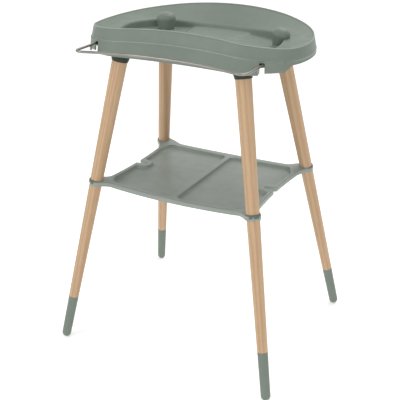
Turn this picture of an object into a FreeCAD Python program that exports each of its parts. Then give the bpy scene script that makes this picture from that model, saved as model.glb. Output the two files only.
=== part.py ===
import FreeCAD, Part
import math
import os

import Sketcher
from FreeCAD import Placement, Rotation, Vector

# Changing table: a kidney-shaped changing tray on four splayed beech legs, with a towel
# rail that slides out at the front and a divided storage tray between the legs.
# Millimetres, +Z up. The origin is on the floor at the centre of the four feet. -Y is the
# front, where the parent stands. The legs, trays and rail mirror each other across X = 0.

DIMENSIONS = {
    # kidney outline of the skirt, at its lower edge
    "half_width": 318.0,
    "front_y": -195.0,
    "back_y": 214.0,
    "front_radius": 1230.0,
    "lobe_radius": 134.0,
    "side_radius": 246.0,
    "back_radius": 414.0,
    # skirt frame
    "skirt_bottom": 874.0,
    "rear_skirt_bottom": 893.0,
    "ramp_front_y": -148.0,
    "skirt_wall": 3.6,
    "skirt_draft": 0.14,
    "skirt_rise": 52.0,
    "seam_height": 920.0,
    "seam_gap": 0.3,
    "seam_arch_radius": 2960.0,
    "flange_bottom": 893.4,
    "flange_thick": 3.8,
    "flange_inset": 60.0,
    # changing tray
    "tray_half_width": 307.4,
    "tray_front_y": -188.8,
    "tray_back_y": 208.8,
    "tray_wall": 4.0,
    "wall_flare": 0.42,
    "tray_down": 30.0,
    "tray_up": 65.0,
    "rim_front_height": 957.4,
    "rim_slope": 2.3,
    "rim_arch_radius": 2350.0,
    "bowl_inset": 6.0,
    "hollow_top": 926.0,
    "shell_half_width": 264.0,
    "shell_front_y": -174.0,
    "shell_back_y": 138.0,
    "floor_height": 907.0,
    "floor_thick": 4.4,
    "recess_half_width": 236.0,
    "recess_front_y": -150.0,
    "recess_back_y": 100.0,
    "recess_front_radius": 1400.0,
    "recess_lobe_radius": 60.0,
    "recess_side_radius": 150.0,
    "recess_back_radius": 420.0,
    # support deck
    "deck_bottom": 897.5,
    "deck_thick": 4.7,
    "deck_inset": 30.0,
    "channel_end_y": -82.0,
    "socket_radius": 27.0,
    "socket_bottom": 873.0,
    "socket_wall": 4.5,
    "leg_top_height": 884.0,
    # legs
    "foot_radius": 13.4,
    "front_foot_x": 332.5,
    "back_foot_x": 328.5,
    "foot_y": 288.0,
    "taper_height": 850.0,
    "front_top_x": 184.2,
    "front_top_y": -167.8,
    "back_top_x": 187.4,
    "back_top_y": 91.0,
    "leg_top_radius": 21.3,
    "cap_height": 138.0,
    "tenon_radius": 9.5,
    "tenon_length": 70.0,
    "collar_bottom": 850.0,
    "collar_top": 871.5,
    "collar_wall": 1.8,
    "collar_flare": 3.4,
    # fixings
    "insert_radius": 6.0,
    "insert_length": 26.0,
    "bolt_radius": 4.0,
    "bolt_length": 24.0,
    "bolt_head_radius": 7.0,
    "bolt_head_thick": 4.6,
    "screw_radius": 2.0,
    "screw_head_radius": 4.4,
    "screw_head_thick": 2.6,
    "gap": 0.3,
    "fit": 0.1,
    # towel rail
    "rail_radius": 3.5,
    "rail_height": 900.0,
    "rail_half_width": 243.0,
    "rail_centre_y": -252.0,
    "rail_arc_radius": 668.0,
    "rail_bend": 18.0,
    "rail_end_y": -89.0,
    "rail_peg_y": -214.0,
    "rail_peg_length": 10.0,
    "rail_peg_radius": 3.0,
    "rail_travel": 45.0,
    "running_fit": 0.05,
    "stop_radius": 5.0,
    "stop_length": 10.0,
    "notch_half": 9.0,
    "notch_top": 905.0,
    "clip_front_y": -174.0,
    "clip_length": 28.0,
    "clip_half": 8.5,
    "clip_ear": 12.0,
    "clip_bottom": 890.8,
    "clip_top": 905.5,
    # storage tray
    "shelf_top": 505.0,
    "shelf_thick": 13.0,
    "shelf_depth": 9.5,
    "shelf_front_x": 200.0,
    "shelf_front_y": -207.0,
    "shelf_side_x": 234.0,
    "shelf_back_x": 182.0,
    "shelf_back_y": 176.0,
    "shelf_front_radius": 1341.0,
    "shelf_side_radius": 1486.0,
    "shelf_back_radius": 2369.0,
    "rib_half": 7.0,
    "pan_corner": 20.0,
    "hook_half": 7.0,
    "ring_bottom": 497.0,
    "ring_top": 511.0,
    "ring_wall": 2.6,
    # mat pegs
    "peg_length": 34.0,
    "peg_dome": 10.0,
    "peg_stem": 5.0,
    "peg_seat_margin": 4.0,
    "peg_seat_depth": 0.4,
}

LEGS = {
    "front_left": (-1, "front"),
    "front_right": (1, "front"),
    "back_left": (-1, "back"),
    "back_right": (1, "back"),
}

# each mat peg: X and Y of its foot, its outward lean in degrees, and its foot and top radii
PEGS = {
    "mat_peg_left": (-146.0, 24.0, 3.0, 21.0, 27.0),
    "mat_peg_right": (207.0, -2.0, 12.0, 14.5, 21.5),
}

# screws up through the deck into the tray's floor, and up through the flange into the deck
TRAY_SCREWS = [(-120.0, -100.0), (120.0, -100.0), (-120.0, 50.0), (120.0, 50.0)]
FLANGE_SCREWS = [(0.0, -148.0), (0.0, 168.0), (-256.0, 0.0), (256.0, 0.0)]

os.makedirs("parts", exist_ok=True)
doc = FreeCAD.newDocument("changing_table")


# ---------------------------------------------------------------- driving dimensions


class Size:
    """A length worked out from the sheet: its number, and the expression that gives it."""

    def __init__(self, number, text):
        self.number = number
        self.text = text

    def _with(self, sign, other, number):
        text = other.text if isinstance(other, Size) else repr(float(other))
        return Size(number, f"({self.text} {sign} {text})")

    def __add__(self, other):
        return self._with("+", other, self.number + number_of(other))

    def __sub__(self, other):
        return self._with("-", other, self.number - number_of(other))

    def __mul__(self, other):
        return self._with("*", other, self.number * number_of(other))

    def __neg__(self):
        return self._with("*", -1, -self.number)


def number_of(value):
    return value.number if isinstance(value, Size) else float(value)


def dim(alias):
    return Size(DIMENSIONS[alias], f"Dims.{alias}")


def bind(item, prop, size):
    item.setExpression(prop, size.text if isinstance(size, Size) else repr(float(size)))


def fill_sheet():
    """One row for each dimension, then how far a leg's axis runs for each mm of height."""
    sheet = doc.addObject("Spreadsheet::Sheet", "Dims")
    for row, (alias, value) in enumerate(DIMENSIONS.items(), start=1):
        sheet.set(f"A{row}", alias)
        sheet.set(f"B{row}", str(value))
        sheet.setAlias(f"B{row}", alias)
    row = len(DIMENSIONS) + 1
    for end, sign in (("front", "+"), ("back", "-")):
        run = "(taper_height - foot_radius)"
        across = f"({end}_foot_x - {end}_top_x)"
        along = f"(foot_y {sign} {end}_top_y)"
        sheet.set(f"A{row}", f"{end}_stretch")
        sheet.set(f"B{row}", f"=sqrt(1 + ({across}^2 + {along}^2) / {run}^2)")
        sheet.setAlias(f"B{row}", f"{end}_stretch")
        row += 1
    doc.recompute()


# ---------------------------------------------------------------- sketches and features


def new_body(label, placement=None):
    body = doc.addObject("PartDesign::Body", label)
    body.Label = label
    if placement is not None:
        body.Placement = placement
    return body


def new_sketch(body, name, plane="XY_Plane", height=0.0, turn=None):
    """A sketch on an origin plane of its body, moved off it by height, and turned if asked."""
    sketch = body.newObject("Sketcher::SketchObject", name)
    origin_plane = [f for f in body.Origin.OriginFeatures if f.Role == plane][0]
    sketch.AttachmentSupport = [(origin_plane, "")]
    sketch.MapMode = "FlatFace"
    if turn is not None:
        sketch.AttachmentOffset = Placement(Vector(0, 0, 0), turn)
    if number_of(height):
        bind(sketch, "AttachmentOffset.Base.z", height)
    return sketch


def pin(sketch, kind, geometry, point, size):
    """Sets a point's X or Y distance from the sketch's origin, or puts it on the axis."""
    if number_of(size) == 0:
        axis = -2 if kind == "DistanceX" else -1
        sketch.addConstraint(Sketcher.Constraint("PointOnObject", geometry, point, axis))
        return
    index = sketch.addConstraint(
        Sketcher.Constraint(kind, -1, 1, geometry, point, number_of(size))
    )
    if isinstance(size, Size):
        bind(sketch, f"Constraints[{index}]", size)


def set_radius(sketch, geometry, radius):
    index = sketch.addConstraint(Sketcher.Constraint("Radius", geometry, number_of(radius)))
    if isinstance(radius, Size):
        bind(sketch, f"Constraints[{index}]", radius)


def arc_between(start, end, radius, hollow):
    """An arc from start to end, kept anticlockwise about its own centre.

    Its centre is to the left of the way round, or to the right if it is hollow.
    """
    chord = end - start
    rise = math.sqrt(radius**2 - (chord.Length / 2) ** 2)
    right = Vector(chord.y, -chord.x, 0).normalize()
    centre = (start + end) * 0.5 + right * (rise if hollow else -rise)
    first, last = (end, start) if hollow else (start, end)
    begin = math.atan2(first.y - centre.y, first.x - centre.x)
    finish = math.atan2(last.y - centre.y, last.x - centre.x)
    return Part.ArcOfCircle(Part.Circle(centre, Vector(0, 0, 1), radius), begin, finish)


def outline(sketch, points):
    """A closed outline, anticlockwise.

    Each point is (X, Y) for a straight side to the next point, or (X, Y, radius) for an arc
    that bulges outwards, or (X, Y, radius, "hollow") for one that curves inwards.
    """
    first = sketch.GeometryCount
    flat = [Vector(number_of(p[0]), number_of(p[1]), 0) for p in points]
    starts = []
    for start, end, point in zip(flat, flat[1:] + flat[:1], points):
        hollow = len(point) > 3
        if len(point) > 2:
            shape = arc_between(start, end, number_of(point[2]), hollow)
        else:
            shape = Part.LineSegment(start, end)
        sketch.addGeometry(shape, False)
        starts.append(2 if hollow else 1)
    count = len(points)
    for i in range(count):
        after = (i + 1) % count
        ends = (first + i, 3 - starts[i], first + after, starts[after])
        sketch.addConstraint(Sketcher.Constraint("Coincident", *ends))
    for i, point in enumerate(points):
        pin(sketch, "DistanceX", first + i, starts[i], point[0])
        pin(sketch, "DistanceY", first + i, starts[i], point[1])
        if len(point) > 2:
            set_radius(sketch, first + i, point[2])


def rectangle(sketch, low_x, low_y, high_x, high_y):
    outline(sketch, [(low_x, low_y), (high_x, low_y), (high_x, high_y), (low_x, high_y)])


def circle(sketch, x, y, radius):
    ring = Part.Circle(Vector(number_of(x), number_of(y), 0), Vector(0, 0, 1), number_of(radius))
    index = sketch.addGeometry(ring, False)
    pin(sketch, "DistanceX", index, 3, x)
    pin(sketch, "DistanceY", index, 3, y)
    set_radius(sketch, index, radius)


def kidney(sketch, half_width, front_y, back_y, radii, inset):
    """A kidney of six tangent arcs, all moved inwards by inset.

    radii are those of the hollow front, the two front lobes, the two sides and the back.
    """
    front_r, lobe_r, side_r, back_r = radii
    front_cy = front_y - front_r
    back_cy = back_y - back_r
    side_cx = half_width - side_r
    # the side arc touches the back arc inside, and the lobe touches both its neighbours
    side_y = back_cy.number + math.sqrt((back_r - side_r).number ** 2 - side_cx.number**2)
    side = Vector(side_cx.number, side_y, 0)
    front = Vector(0, front_cy.number, 0)
    back = Vector(0, back_cy.number, 0)
    reach = front_r.number + lobe_r.number
    spare = side_r.number - lobe_r.number
    span = (side - front).Length
    along = (reach**2 - spare**2 + span**2) / (2 * span)
    across = math.sqrt(reach**2 - along**2)
    way = (side - front).normalize()
    lobe = front + way * along + Vector(way.y, -way.x, 0) * across

    touch_front = front + (lobe - front).normalize() * front_r.number
    touch_lobe = side + (lobe - side).normalize() * side_r.number
    touch_side = back + (side - back).normalize() * back_r.number

    def arc(centre, radius, start, end):
        begin = math.atan2(start.y - centre.y, start.x - centre.x)
        finish = math.atan2(end.y - centre.y, end.x - centre.x)
        ring = Part.Circle(centre, Vector(0, 0, 1), radius.number)
        index = sketch.addGeometry(Part.ArcOfCircle(ring, begin, finish), False)
        set_radius(sketch, index, radius)

    def mirrored(point):
        return Vector(-point.x, point.y, 0)

    arc(front, front_r + inset, touch_front, mirrored(touch_front))
    arc(lobe, lobe_r - inset, touch_front, touch_lobe)
    arc(side, side_r - inset, touch_lobe, touch_side)
    arc(back, back_r - inset, touch_side, mirrored(touch_side))
    arc(mirrored(side), side_r - inset, mirrored(touch_side), mirrored(touch_lobe))
    arc(mirrored(lobe), lobe_r - inset, mirrored(touch_lobe), mirrored(touch_front))

    joins = [(0, 1, 1, 1), (1, 2, 2, 1), (2, 2, 3, 1), (3, 2, 4, 1), (4, 2, 5, 1), (5, 2, 0, 2)]
    for join in joins:
        sketch.addConstraint(Sketcher.Constraint("Tangent", *join))
    for centre, cy in ((0, front_cy), (3, back_cy)):
        pin(sketch, "DistanceX", centre, 3, 0)
        pin(sketch, "DistanceY", centre, 3, cy)
    pin(sketch, "DistanceX", 2, 3, side_cx)
    pin(sketch, "DistanceX", 4, 3, -side_cx)


def pad(body, sketch, length, **settings):
    feature = body.newObject("PartDesign::Pad", f"{sketch.Name}_pad")
    feature.Profile = sketch
    bind(feature, "Length", length)
    for name, value in settings.items():
        setattr(feature, name, value)
    return feature


def pocket(body, sketch, length=None, upwards=False):
    """A cut of that length, or right through both ways. It must take material away."""
    doc.recompute()
    before = body.Shape.Volume
    feature = body.newObject("PartDesign::Pocket", f"{sketch.Name}_cut")
    feature.Profile = sketch
    feature.Reversed = upwards
    if length is None:
        feature.Midplane = True
        feature.Length = 3000
    else:
        bind(feature, "Length", length)
    doc.recompute()
    if not body.Shape.Volume < before - 1:
        raise RuntimeError(f"{body.Label}: {sketch.Name} cuts nothing")
    return feature


def loft(body, low, high, cut=False):
    """A ruled loft between two outlines, added or cut away."""
    kind = "PartDesign::SubtractiveLoft" if cut else "PartDesign::AdditiveLoft"
    feature = body.newObject(kind, f"{low.Name}_loft")
    feature.Profile = low
    feature.Sections = [high]
    feature.Ruled = True
    doc.recompute()
    return feature


def revolve(body, points):
    """A solid turned about the body's Z axis from half an outline, each point (radius, Z)."""
    sketch = new_sketch(body, f"{body.Name}_profile", "XZ_Plane")
    outline(sketch, points)
    feature = body.newObject("PartDesign::Revolution", f"{body.Name}_turned")
    feature.Profile = sketch
    feature.ReferenceAxis = (sketch, ["V_Axis"])
    feature.Angle = 360
    return feature


def rod(body, name, frame, start, radius, length, cut=False):
    """A round bar, or a round hole, that runs along the Z axis of frame from start."""
    kind = "PartDesign::SubtractiveCylinder" if cut else "PartDesign::AdditiveCylinder"
    feature = body.newObject(kind, name)
    feature.AttachmentSupport = [(body.Origin.OriginFeatures[3], "")]
    feature.MapMode = "FlatFace"
    feature.AttachmentOffset = frame * Placement(Vector(0, 0, number_of(start)), Rotation())
    bind(feature, "Radius", radius)
    bind(feature, "Height", length)
    return feature


def arch_cut(body, name, apex, radius, slope=0.0, below=False):
    """Cuts away all that is above (or below) an arch across the width.

    The arch is tilted by slope degrees, up towards the back, and apex is its height at Y = 0.
    """
    sketch = new_sketch(body, name, "XZ_Plane", turn=Rotation(Vector(1, 0, 0), slope))
    half = 450.0
    base = apex - radius
    spring = base.number + math.sqrt(radius.number**2 - half**2)
    edge = apex.number - 300.0 if below else apex.number + 300.0
    swing = math.asin(half / radius.number)
    ring = Part.Circle(Vector(0, base.number, 0), Vector(0, 0, 1), radius.number)
    crown = Part.ArcOfCircle(ring, math.pi / 2 - swing, math.pi / 2 + swing)
    sketch.addGeometry(crown, False)
    corners = [(-half, spring), (-half, edge), (half, edge), (half, spring)]
    corners = [Vector(x, y, 0) for x, y in corners]
    for start, end in zip(corners, corners[1:]):
        sketch.addGeometry(Part.LineSegment(start, end), False)
    for join in ((0, 2, 1, 1), (1, 2, 2, 1), (2, 2, 3, 1), (3, 2, 0, 1)):
        sketch.addConstraint(Sketcher.Constraint("Coincident", *join))
    pin(sketch, "DistanceX", 0, 3, 0)
    pin(sketch, "DistanceY", 0, 3, base)
    set_radius(sketch, 0, radius)
    pin(sketch, "DistanceX", 1, 1, -half)
    pin(sketch, "DistanceX", 3, 2, half)
    pin(sketch, "DistanceY", 1, 2, edge)
    sketch.addConstraint(Sketcher.Constraint("Vertical", 1))
    sketch.addConstraint(Sketcher.Constraint("Horizontal", 2))
    sketch.addConstraint(Sketcher.Constraint("Vertical", 3))
    return pocket(body, sketch)


# ---------------------------------------------------------------- the lines of the legs


def leg_frame(name):
    """Z runs up the leg's axis, from zero at the centre of the foot's round end."""
    side, row = LEGS[name]
    sign = -1 if row == "front" else 1
    foot_x = side * DIMENSIONS[f"{row}_foot_x"]
    foot = Vector(foot_x, sign * DIMENSIONS["foot_y"], DIMENSIONS["foot_radius"])
    top_x = side * DIMENSIONS[f"{row}_top_x"]
    top = Vector(top_x, DIMENSIONS[f"{row}_top_y"], DIMENSIONS["taper_height"])
    return Placement(foot, Rotation(Vector(0, 0, 1), top - foot))


def stretch(name):
    """How far the leg's axis runs for each mm of height."""
    row = LEGS[name][1]
    axis = leg_frame(name).Rotation.multVec(Vector(0, 0, 1))
    return Size(1 / axis.z, f"Dims.{row}_stretch")


def along(name, height):
    """The place on the leg's axis that is a given height above the floor."""
    return (height - dim("foot_radius")) * stretch(name)


def leg_radius(height):
    """The leg's radius, which grows evenly from the foot to the top of the taper."""
    base = dim("foot_radius")
    run = DIMENSIONS["taper_height"] - DIMENSIONS["foot_radius"]
    return base + (dim("leg_top_radius") - base) * (height - base) * (1 / run)


# ---------------------------------------------------------------- the changing top


def skirt_outline(sketch, inset):
    radii = [dim("front_radius"), dim("lobe_radius"), dim("side_radius"), dim("back_radius")]
    kidney(sketch, dim("half_width"), dim("front_y"), dim("back_y"), radii, inset)


def tray_outline(sketch, inset):
    radii = [dim("front_radius"), dim("lobe_radius"), dim("side_radius"), dim("back_radius")]
    width, front, back = dim("tray_half_width"), dim("tray_front_y"), dim("tray_back_y")
    kidney(sketch, width, front, back, radii, inset)


def recess_outline(sketch, inset, part="recess"):
    names = ("recess_front_radius", "recess_lobe_radius", "recess_side_radius")
    radii = [dim(name) for name in names] + [dim("recess_back_radius")]
    ends = [dim(f"{part}_{end}") for end in ("half_width", "front_y", "back_y")]
    kidney(sketch, *ends, radii, inset)


def rail_channels(body, bottom, top, reach):
    """Cuts the two straight channels for the rail's arms, from channel_end_y forwards."""
    for side, word in ((-1, "left"), (1, "right")):
        sketch = new_sketch(body, f"channel_{word}", "XZ_Plane", -dim("channel_end_y"))
        middle = dim("rail_half_width") * side
        half = dim("notch_half")
        rectangle(sketch, middle - half, bottom, middle + half, top)
        pocket(body, sketch, reach, upwards=True)


def make_skirt_frame():
    """The skirt: a leaning wall round the kidney, with a flange inside it."""
    body = new_body("skirt_frame")
    low = dim("skirt_bottom")
    high = low + dim("skirt_rise")
    lean = dim("skirt_draft") * dim("skirt_rise")
    wall = dim("skirt_wall")
    none = Size(0.0, "0")
    sections = {}
    for name, height, inset in (
        ("outer_low", low, none),
        ("outer_high", high, lean),
        ("inner_low", low, wall),
        ("inner_high", high, wall + lean),
    ):
        sections[name] = new_sketch(body, f"skirt_{name}", height=height)
        skirt_outline(sections[name], inset)
    loft(body, sections["outer_low"], sections["outer_high"])
    loft(body, sections["inner_low"], sections["inner_high"], cut=True)
    arch_cut(body, "skirt_seam", dim("seam_height") - dim("seam_gap"), dim("seam_arch_radius"))
    flange = new_sketch(body, "skirt_flange", height=dim("flange_bottom"))
    skirt_outline(flange, wall + 1.0)
    pad(body, flange, dim("flange_thick"))
    opening = new_sketch(body, "skirt_opening", height=dim("flange_bottom"))
    skirt_outline(opening, dim("flange_inset"))
    pocket(body, opening, dim("flange_thick"), upwards=True)
    # behind a short ramp the skirt is shallower
    step = dim("rear_skirt_bottom") - low
    ramp = new_sketch(body, "skirt_ramp", "YZ_Plane")
    ramp_points = [
        (dim("ramp_front_y"), low - 5),
        (dim("back_y") + 30, low - 5),
        (dim("back_y") + 30, dim("rear_skirt_bottom")),
        (dim("ramp_front_y") + step, dim("rear_skirt_bottom")),
        (dim("ramp_front_y"), low),
    ]
    outline(ramp, ramp_points)
    pocket(body, ramp)
    rail_channels(body, low - 5, dim("notch_top"), Size(200.0, "200"))
    for name in LEGS:
        start = along(name, dim("socket_bottom")).number
        hole = dim("socket_radius") + dim("gap")
        rod(body, f"hole_{name}", leg_frame(name), start, hole, 60.0, cut=True)
    for number, (x, y) in enumerate(FLANGE_SCREWS):
        frame = Placement(Vector(x, y, 880), Rotation())
        hole = dim("screw_radius") + dim("gap")
        rod(body, f"screw_hole_{number}", frame, 0, hole, 30.0, cut=True)
    return body


def make_changing_tray():
    """The tray: a wall that leans in as it rises, and a bowl that slopes down from its rim."""
    body = new_body("changing_tray")
    seam = dim("seam_height")
    low, high = seam - dim("tray_down"), seam + dim("tray_up")
    out = -(dim("wall_flare") * dim("tray_down"))
    wall = dim("tray_wall")
    top = dim("hollow_top")
    floor, under = dim("floor_height"), dim("floor_height") - dim("floor_thick")
    sections = {}
    for name, height, inset in (
        ("outer_low", low, out),
        ("outer_high", high, dim("wall_flare") * dim("tray_up")),
        ("hollow_low", low, out + wall),
        ("hollow_high", top, dim("wall_flare") * (top - seam) + wall),
    ):
        sections[name] = new_sketch(body, f"tray_{name}", height=height)
        tray_outline(sections[name], inset)
    loft(body, sections["outer_low"], sections["outer_high"])
    loft(body, sections["hollow_low"], sections["hollow_high"], cut=True)
    arch_cut(body, "tray_seam", seam, dim("seam_arch_radius"), below=True)
    shell_low = new_sketch(body, "shell_low", height=under)
    recess_outline(shell_low, -wall)
    shell_high = new_sketch(body, "shell_high", height=top + 1)
    recess_outline(shell_high, Size(0.0, "0"), "shell")
    loft(body, shell_low, shell_high)
    bowl_low = new_sketch(body, "bowl_low", height=floor)
    recess_outline(bowl_low, Size(0.0, "0"))
    bowl_high = new_sketch(body, "bowl_high", height=high)
    tray_outline(bowl_high, dim("bowl_inset"))
    loft(body, bowl_low, bowl_high, cut=True)
    apex = dim("rim_front_height")
    arch_cut(body, "tray_rim", apex, dim("rim_arch_radius"), slope=DIMENSIONS["rim_slope"])
    for name in PEGS:
        hole = dim("peg_stem") + dim("gap")
        rod(body, f"stem_{name}", peg_frame(name), -12.0, hole, 14.0, cut=True)
        # a shallow seat round the peg's foot, so that the flat floor stops short of the peg
        x, y, _, base, _ = PEGS[name]
        seat = Placement(Vector(x, y, floor.number), Rotation())
        depth = dim("peg_seat_depth")
        rod(body, f"seat_{name}", seat, -depth, dim("peg_seat_margin") + base, depth + 2, cut=True)
    hole = dim("screw_radius") + dim("fit")
    for number, (x, y) in enumerate(TRAY_SCREWS):
        frame = Placement(Vector(x, y, under.number), Rotation())
        rod(body, f"screw_hole_{number}", frame, -1.0, hole, 4.2, cut=True)
    return body


def make_support_deck():
    """The deck under the tray, with four leaning sockets for the legs."""
    body = new_body("support_deck")
    bottom, thick = dim("deck_bottom"), dim("deck_thick")
    plate = new_sketch(body, "deck_plate", height=bottom)
    skirt_outline(plate, dim("deck_inset"))
    pad(body, plate, thick)
    bore = dim("leg_top_radius") + dim("fit")
    for name in LEGS:
        frame = leg_frame(name)
        low = along(name, dim("socket_bottom"))
        end = along(name, dim("leg_top_height")) + dim("gap")
        roof = along(name, bottom + thick) + 12
        rod(body, f"socket_{name}", frame, low, dim("socket_radius"), roof - low)
        rod(body, f"bore_{name}", frame, low - 1, bore, end - low + 1, cut=True)
        hole = dim("bolt_radius") + dim("gap")
        rod(body, f"bolt_hole_{name}", frame, end - 1, hole, dim("socket_wall") + 2, cut=True)
        seat = dim("bolt_head_radius") + 2
        rod(body, f"seat_{name}", frame, end + dim("socket_wall"), seat, 40.0, cut=True)
    top = new_sketch(body, "deck_top", height=bottom + thick)
    rectangle(top, -400.0, -400.0, 400.0, 400.0)
    pocket(body, top, Size(60.0, "60"), upwards=True)
    rail_channels(body, bottom - 5, dim("notch_top"), Size(200.0, "200"))
    hole = dim("screw_radius") + dim("gap")
    for number, (x, y) in enumerate(TRAY_SCREWS + FLANGE_SCREWS):
        frame = Placement(Vector(x, y, bottom.number - 1), Rotation())
        rod(body, f"screw_hole_{number}", frame, 0, hole, 7.0, cut=True)
    return body


# ---------------------------------------------------------------- the legs


def make_leg(name):
    """A tapered wooden leg, with a tenon for the foot cap and a bore for the insert."""
    body = new_body(f"leg_{name}", leg_frame(name))
    low = along(name, dim("cap_height")) + dim("fit")
    straight = along(name, dim("taper_height"))
    top = along(name, dim("leg_top_height"))
    tenon = dim("tenon_radius")
    bore = dim("insert_radius") + dim("fit")
    depth = dim("insert_length") + dim("fit")
    profile = [
        (0.0, low - dim("tenon_length")),
        (tenon, low - dim("tenon_length")),
        (tenon, low),
        (leg_radius(dim("cap_height")), low),
        (dim("leg_top_radius"), straight),
        (dim("leg_top_radius"), top),
        (bore, top),
        (bore, top - depth),
        (0.0, top - depth),
    ]
    revolve(body, profile)
    return body


def make_foot_cap(name):
    """A moulded foot with a round end, flush with the wood, bored for the tenon."""
    body = new_body(f"foot_cap_{name}", leg_frame(name))
    high = along(name, dim("cap_height"))
    bore = dim("tenon_radius") + dim("fit")
    foot = dim("foot_radius")
    depth = dim("tenon_length") + dim("fit")
    profile = [
        (0.0, -foot, foot),
        (foot, 0.0),
        (leg_radius(dim("cap_height")), high),
        (bore, high),
        (bore, high - depth),
        (0.0, high - depth),
    ]
    revolve(body, profile)
    return body


def make_collar(name):
    """A flared ring round the top of the leg, just under its socket."""
    body = new_body(f"leg_collar_{name}", leg_frame(name))
    low, high = along(name, dim("collar_bottom")), along(name, dim("collar_top"))
    inner = dim("leg_top_radius") + dim("fit")
    outer = dim("leg_top_radius") + dim("collar_wall")
    profile = [
        (inner, low),
        (outer, low),
        (outer + dim("collar_flare"), high),
        (inner, high),
    ]
    revolve(body, profile)
    return body


def make_shelf_ring(name):
    """The band that holds one corner of the storage tray on its leg."""
    body = new_body(f"shelf_ring_{name}", leg_frame(name))
    low, high = along(name, dim("ring_bottom")), along(name, dim("ring_top"))
    inner = leg_radius(dim("ring_top")) + dim("fit")
    outer = inner + dim("ring_wall")
    revolve(body, [(inner, low), (outer, low), (outer, high), (inner, high)])
    return body


# ---------------------------------------------------------------- fixings


def cylinder(name, frame, start, radius, length):
    item = doc.addObject("Part::Cylinder", name)
    item.Placement = frame * Placement(Vector(0, 0, number_of(start)), Rotation())
    bind(item, "Radius", radius)
    bind(item, "Height", length)
    return item


def group(label, members):
    item = doc.addObject("Part::Compound", label)
    item.Label = label
    item.Links = members
    return item


def tube(name, frame, start, outer, inner, length):
    item = doc.addObject("Part::Cut", name)
    item.Base = cylinder(f"{name}_outer", frame, start, outer, length)
    item.Tool = cylinder(f"{name}_inner", frame, start - 1, inner, length + 2)
    return item


def headed(name, frame, tip, radius, length, head_radius, head_length):
    """A fixing whose shank runs up from tip to its head, along the Z axis of frame."""
    item = doc.addObject("Part::Fuse", name)
    item.Base = cylinder(f"{name}_shank", frame, tip, radius, length)
    item.Tool = cylinder(f"{name}_head", frame, tip + length, head_radius, head_length)
    return item


def make_inserts():
    members = []
    for name in LEGS:
        start = along(name, dim("leg_top_height")) - dim("insert_length")
        inner = dim("bolt_radius") + dim("fit")
        sizes = (dim("insert_radius"), inner, dim("insert_length"))
        members.append(tube(f"insert_{name}", leg_frame(name), start, *sizes))
    return group("leg_inserts", members)


def make_bolts():
    members = []
    for name in LEGS:
        seat = along(name, dim("leg_top_height")) + dim("gap") + dim("socket_wall")
        sizes = (dim("bolt_radius"), dim("bolt_length"), dim("bolt_head_radius"))
        tip = seat + dim("fit") - dim("bolt_length")
        bolt = headed(f"bolt_{name}", leg_frame(name), tip, *sizes, dim("bolt_head_thick"))
        members.append(bolt)
    return group("leg_bolts", members)


def screws(label, places, tip, head):
    """Screws driven upwards: tip and head are the heights of a shank's two ends."""
    members = []
    for number, (x, y) in enumerate(places):
        down = Placement(Vector(x, y, tip.number), Rotation(Vector(1, 0, 0), 180))
        sizes = (dim("screw_radius"), tip - head, dim("screw_head_radius"))
        thick = dim("screw_head_thick")
        members.append(headed(f"{label}_{number}", down, Size(0.0, "0"), *sizes, thick))
    return group(label, members)


def make_tray_screws():
    tip = dim("floor_height") - dim("floor_thick") + 2.9
    return screws("tray_screws", TRAY_SCREWS, tip, dim("deck_bottom") - dim("fit"))


def make_flange_screws():
    tip = dim("deck_bottom") + dim("deck_thick") - dim("fit")
    return screws("flange_screws", FLANGE_SCREWS, tip, dim("flange_bottom") - dim("fit"))


# ---------------------------------------------------------------- towel rail


def make_towel_rail():
    """A bent rod: two straight arms, and a front that curves with the skirt."""
    body = new_body("towel_rail")
    half, bend, big = dim("rail_half_width"), dim("rail_bend"), dim("rail_arc_radius")
    centre_y = dim("rail_centre_y") - big
    bend_x = (half - bend).number
    bend_y = centre_y.number + math.sqrt((big + bend).number ** 2 - bend_x**2)
    path = new_sketch(body, "rail_path", height=dim("rail_height"))
    middle = Vector(0, centre_y.number, 0)
    corner = Vector(bend_x, bend_y, 0)
    touch = middle + (corner - middle).normalize() * big.number
    swing = math.acos((touch.y - middle.y) / big.number)
    end_y = number_of(dim("rail_end_y"))
    arm_x = half.number

    def arc(centre, radius, begin, finish):
        ring = Part.Circle(centre, Vector(0, 0, 1), radius.number)
        index = path.addGeometry(Part.ArcOfCircle(ring, begin, finish), False)
        set_radius(path, index, radius)

    left = Vector(-corner.x, corner.y, 0)
    path.addGeometry(Part.LineSegment(Vector(-arm_x, end_y, 0), Vector(-arm_x, left.y, 0)), False)
    arc(left, bend, math.pi, 1.5 * math.pi + swing)
    arc(middle, big, math.pi / 2 - swing, math.pi / 2 + swing)
    arc(corner, bend, 1.5 * math.pi - swing, 2 * math.pi)
    path.addGeometry(Part.LineSegment(Vector(arm_x, corner.y, 0), Vector(arm_x, end_y, 0)), False)
    for join in ((0, 2, 1, 1), (1, 2, 2, 2), (2, 1, 3, 1), (3, 2, 4, 1)):
        path.addConstraint(Sketcher.Constraint("Tangent", *join))
    pin(path, "DistanceX", 0, 1, -half)
    pin(path, "DistanceY", 0, 1, dim("rail_end_y"))
    pin(path, "DistanceX", 4, 2, half)
    pin(path, "DistanceY", 4, 2, dim("rail_end_y"))
    path.addConstraint(Sketcher.Constraint("Vertical", 0))
    path.addConstraint(Sketcher.Constraint("Vertical", 4))
    pin(path, "DistanceX", 2, 3, 0)
    pin(path, "DistanceY", 2, 3, centre_y)
    section = new_sketch(body, "rail_section", "XZ_Plane", -dim("rail_end_y"))
    circle(section, -half, dim("rail_height"), dim("rail_radius"))
    pipe = body.newObject("PartDesign::AdditivePipe", "rail_pipe")
    pipe.Profile = section
    pipe.Spine = (path, [f"Edge{i}" for i in range(1, 6)])
    return body


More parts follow.
